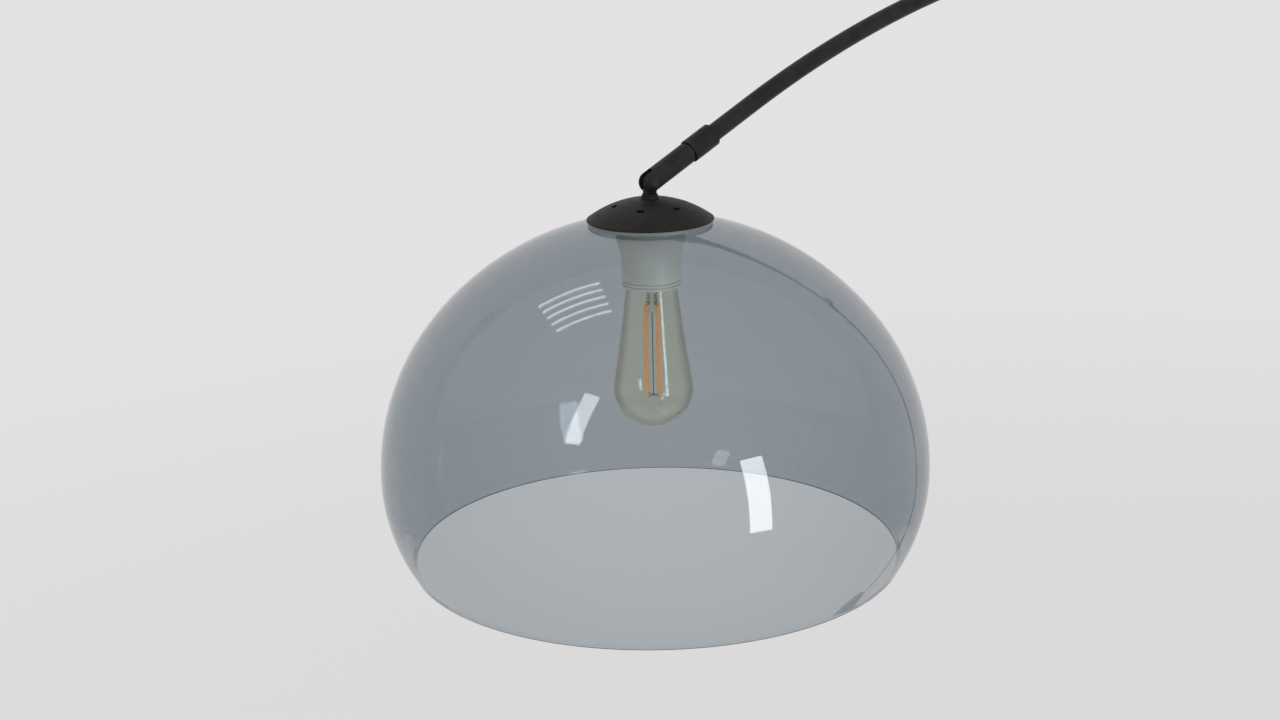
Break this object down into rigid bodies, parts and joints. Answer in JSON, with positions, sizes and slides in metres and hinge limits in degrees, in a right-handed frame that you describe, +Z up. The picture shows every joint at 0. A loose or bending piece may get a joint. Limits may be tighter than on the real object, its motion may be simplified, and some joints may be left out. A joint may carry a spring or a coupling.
{
  "type": "arc floor lamp",
  "caption": "Arc floor lamp: heavy round stone foot, telescoping pole, long curved extending arm and a swivelling, tilting smoked dome shade with a bare filament bulb.",
  "frame": {"origin": "on the floor, under the middle of the round foot", "axes": "+Z up; the arm lies in the XZ plane with the shade towards -X; +Y to the side of the arm's clamp knob"},
  "size_m": [1.7516, 0.4, 1.8061],
  "materials": {
    "stone": "polished",
    "felt": "matte",
    "grommet_rubber": "matte",
    "zinc_steel": "satin",
    "nylon": "satin",
    "knob_plastic": "matte",
    "dark_steel": "satin",
    "black_satin": "satin",
    "black_paint": "matte",
    "clear_seal": "satin",
    "smoked_acrylic": "gloss",
    "cream_plastic": "satin",
    "core_plastic": "matte",
    "brass": "satin",
    "solder": "satin",
    "bulb_glass": "gloss",
    "mount_glass": "gloss",
    "bulb_aluminium": "satin",
    "black_glass": "gloss",
    "filament_coating": "matte",
    "lead_wire": "satin"
  },
  "bodies": {
    "base": {"base_block": "stone", "felt_pad": "felt", "cord_grommet": "grommet_rubber", "foot_flange": "black_paint", "foot_stud": "zinc_steel", "foot_washer": "zinc_steel", "foot_nut": "zinc_steel", "lower_pole": "black_paint", "pole_clamp": "black_paint", "pole_guide_bush": "nylon"},
    "height_clamp": {"height_screw": "zinc_steel", "height_knob": "knob_plastic"},
    "upper_pole": {"upper_pole": "black_paint", "slide_shoe": "nylon", "swivel_bush": "nylon"},
    "arm": {"lower_arc": "black_paint", "arc_reducer": "black_paint", "yaw_ring": "black_paint", "arm_grub_screws": "dark_steel", "upper_arc": "black_paint", "arm_guide_bush": "nylon", "arm_clamp": "black_paint"},
    "arm_clamp_knob": {"arm_screw": "zinc_steel", "arm_knob": "knob_plastic"},
    "tip": {"tip_arc": "black_paint", "tip_shoe": "nylon", "swivel_collar": "black_satin", "collar_grub_screw": "dark_steel", "swivel_washer": "nylon"},
    "swivel": {"swivel_rod": "black_satin", "swivel_clip": "zinc_steel", "tilt_screw": "dark_steel", "tilt_nut": "dark_steel", "friction_discs": "nylon"},
    "head": {"shade_neck": "black_satin", "shade_cap": "black_paint", "cap_gasket": "clear_seal", "dome_shade": "smoked_acrylic", "inner_gasket": "clear_seal", "lampholder_cup": "cream_plastic", "stem_nut": "zinc_steel", "lampholder_skirt": "cream_plastic", "lampholder_core": "core_plastic", "screw_shell": "brass", "centre_contact": "brass", "bulb_glass": "bulb_glass", "bulb_screw_base": "bulb_aluminium", "bulb_insulator": "black_glass", "bulb_contact": "solder", "bulb_mount": "mount_glass", "filaments": "filament_coating", "filament_anchor": "lead_wire", "filament_leads": "lead_wire"}
  },
  "joints": [
    {"name": "height_knob_turn", "type": "hinge", "parent": "base", "child": "height_clamp", "pos_m": [0.06, 0, 0.661], "axis": [1, 0, 0], "range_deg": [0, 360]},
    {"name": "pole_height", "type": "slide", "parent": "base", "child": "upper_pole", "axis": [0, 0, 1], "range_m": [-0.12, 0.15]},
    {"name": "arm_yaw", "type": "hinge", "parent": "upper_pole", "child": "arm", "pos_m": [0.06, 0, 0.81], "axis": [0, 0, 1], "range_deg": [-170, 170]},
    {"name": "arm_knob_turn", "type": "hinge", "parent": "arm", "child": "arm_clamp_knob", "pos_m": [-0.79514, 0, 1.79158], "axis": [0, 1, 0], "range_deg": [0, 360]},
    {"name": "arm_extension", "type": "hinge", "parent": "arm", "child": "tip", "pos_m": [-0.875, 0, 0.86], "axis": [0, -1, 0], "range_deg": [-15, 7]},
    {"name": "head_swivel", "type": "hinge", "parent": "tip", "child": "swivel", "pos_m": [-1.37467, 0, 1.65697], "axis": [-0.9003, 0, -0.4352], "range_deg": [-120, 120]},
    {"name": "shade_tilt", "type": "hinge", "parent": "swivel", "child": "head", "pos_m": [-1.37467, 0, 1.65697], "axis": [0, 1, 0], "range_deg": [-25, 60]}
  ]
}
